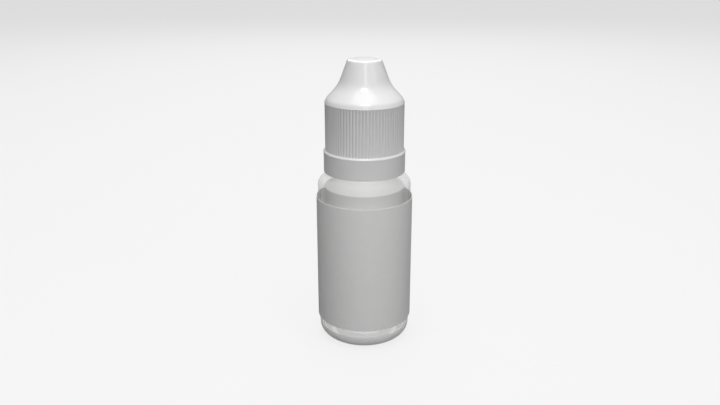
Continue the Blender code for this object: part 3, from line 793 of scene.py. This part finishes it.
outer_cap = turned_piece("outer_cap_shell", rounded_outline(
    (0, CAP_TOP),
    (CAP_TOP_RADIUS, CAP_TOP, CAP_TOP_ROUNDING),
    (*waist, CAP_WAIST_RADIUS),
    (*corner, CAP_SHOULDER_RADIUS),
    (CAP_RIM_RADIUS, rim_height),
    (SKIRT_RADIUS, rib_top),
    (SKIRT_RADIUS, CAP_BOTTOM),
    (SKIRT_BORE, CAP_BOTTOM, SKIRT_EDGE),
    (SKIRT_BORE, catch_top - CATCH_HEIGHT, CATCH_RAMP_ROUNDING),
    (catch, catch_top, CATCH_EDGE),
    (SKIRT_BORE, catch_top, CATCH_EDGE),
    (SKIRT_BORE, skirt_inner_corner, SKIRT_INNER_ROUNDING),
    (*inner_waist, CAP_WAIST_RADIUS),
    (roof_edge, cap_roof, CAP_ROOF_FILLET),
    (0, cap_roof),
), steps=RIB_COUNT * RIB_STEPS, form=with_ribs)
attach(outer_cap, "outer_cap")
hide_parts("outer_cap")

lugs = ring_of_blocks(
    "drive_lugs", TOOTH_COUNT, inner=tooth_inner, outer=SKIRT_BORE + LUG_ROOT, width=TOOTH_WIDTH,
    bottom=tooth_top + SEAT_GAP, top=skirt_inner_corner, phase=math.pi / TOOTH_COUNT, rounding=TOOTH_EDGE)
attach(lugs, "outer_cap")

shell_polypropylene = white_polypropylene(
    "white polypropylene, glossy moulded shell", "#DADADA", "#E0E0E0",
    roughness_low=0.17, roughness_high=0.22)
outer_cap.data.materials.append(shell_polypropylene)
lugs.data.materials.append(shell_polypropylene)

# Studio
# A pale seamless floor under soft panels: overhead, front and right cast the shadow on the floor, and the
# others light the undersides, the gloss and the back without one, as flat as in the photograph.
# The camera stands where the photograph was taken from.

FLOOR_SIZE = 6.0
FLOOR_GLOW = 0.7
BACKDROP_GLOW = 0.76
BACKDROP_AMBIENT = 0.03
GLOW_IN_REFLECTIONS = 0.22
LIGHT_TARGET = Vector((0, 0, 35 * MM))
OVERHEAD_PLACE = (0, -0.05, 0.60)
OVERHEAD_SIZE = 0.5
CAMERA_PLACE = (-1.02 * MM, -163.76 * MM, 89.85 * MM)
CAMERA_TILT = math.radians(70.895)
CAMERA_LENS = 36.82
CAMERA_SENSOR = 36
CAMERA_NEAR = 10 * MM


def pale_glow(tree, level, ambient):
    """How brightly the surround shows: at its level to the camera and through clear walls, less in gloss."""
    rays = add_node(tree, "ShaderNodeLightPath").outputs
    seen = add_node(tree, "ShaderNodeMath", {
        0: rays["Is Camera Ray"], 1: rays["Is Transmission Ray"]}, operation="MAXIMUM")
    in_gloss = add_node(tree, "ShaderNodeMath", {
        0: rays["Is Glossy Ray"], 1: GLOW_IN_REFLECTIONS, 2: ambient}, operation="MULTIPLY_ADD")
    glow = add_node(tree, "ShaderNodeMath", {
        0: seen.outputs[0], 1: level, 2: in_gloss.outputs[0]}, operation="MULTIPLY_ADD")
    return glow.outputs[0]


bpy.ops.mesh.primitive_plane_add(size=FLOOR_SIZE)
floor = bpy.context.object
floor.name = "studio_floor"
# Matt paper hardly shines and takes a soft shadow. What keeps it pale is a glow that is seen, also in gloss
# and through clear walls, but adds no soft light to the object.
floor_paper, tree, shader = new_material("pale floor paper")
set_inputs(tree, shader, {
    "Base Color": srgb("#707070"),
    "Roughness": 0.9,
    "Specular IOR Level": 0.1,
    "Emission Color": srgb("#FFFFFF"),
    "Emission Strength": pale_glow(tree, FLOOR_GLOW, 0),
})
floor.data.materials.append(floor_paper)


def soft_panel(name, place, width, height, watts, shadow=True):
    """A rectangular lamp that faces the middle of the object."""
    lamp = bpy.data.lights.new(name, "AREA")
    lamp.shape = "RECTANGLE"
    lamp.size = width
    lamp.size_y = height
    lamp.energy = watts
    lamp.use_shadow = shadow
    panel = bpy.data.objects.new(name, lamp)
    panel.location = place
    panel.rotation_euler = (LIGHT_TARGET - Vector(place)).to_track_quat("-Z", "Y").to_euler()
    bpy.context.scene.collection.objects.link(panel)


soft_panel("overhead_panel", OVERHEAD_PLACE, OVERHEAD_SIZE, OVERHEAD_SIZE, watts=2.35)
soft_panel("overhead_fill", OVERHEAD_PLACE, OVERHEAD_SIZE, OVERHEAD_SIZE, watts=1.55, shadow=False)
soft_panel("key_panel", place=(0, -0.34, 0.54), width=0.22, height=0.05, watts=0.85, shadow=False)
soft_panel("strip_panel", place=(0.05, -0.52, 0.30), width=0.12, height=0.40, watts=0.48, shadow=False)
soft_panel("front_panel", place=(0, -0.65, 0.15), width=0.5, height=0.22, watts=0.62)
soft_panel("right_fill", place=(0.50, -0.45, 0.30), width=0.4, height=0.4, watts=0.57)
soft_panel("back_panel", place=(0, 0.50, 0.45), width=0.5, height=0.5, watts=2.0, shadow=False)

world = bpy.data.worlds.new("studio_surround")
world.use_nodes = True
tree = world.node_tree
set_inputs(tree, tree.nodes["Background"], {
    "Color": srgb("#F2F2F2"),
    "Strength": pale_glow(tree, BACKDROP_GLOW, BACKDROP_AMBIENT),
})
bpy.context.scene.world = world

lens = bpy.data.cameras.new("photograph_camera")
lens.sensor_width = CAMERA_SENSOR
lens.lens = CAMERA_LENS
lens.clip_start = CAMERA_NEAR
camera = bpy.data.objects.new("photograph_camera", lens)
camera.location = CAMERA_PLACE
camera.rotation_euler = (CAMERA_TILT, 0, 0)
bpy.context.scene.collection.objects.link(camera)
bpy.context.scene.camera = camera
bpy.context.scene.view_settings.view_transform = "Standard"
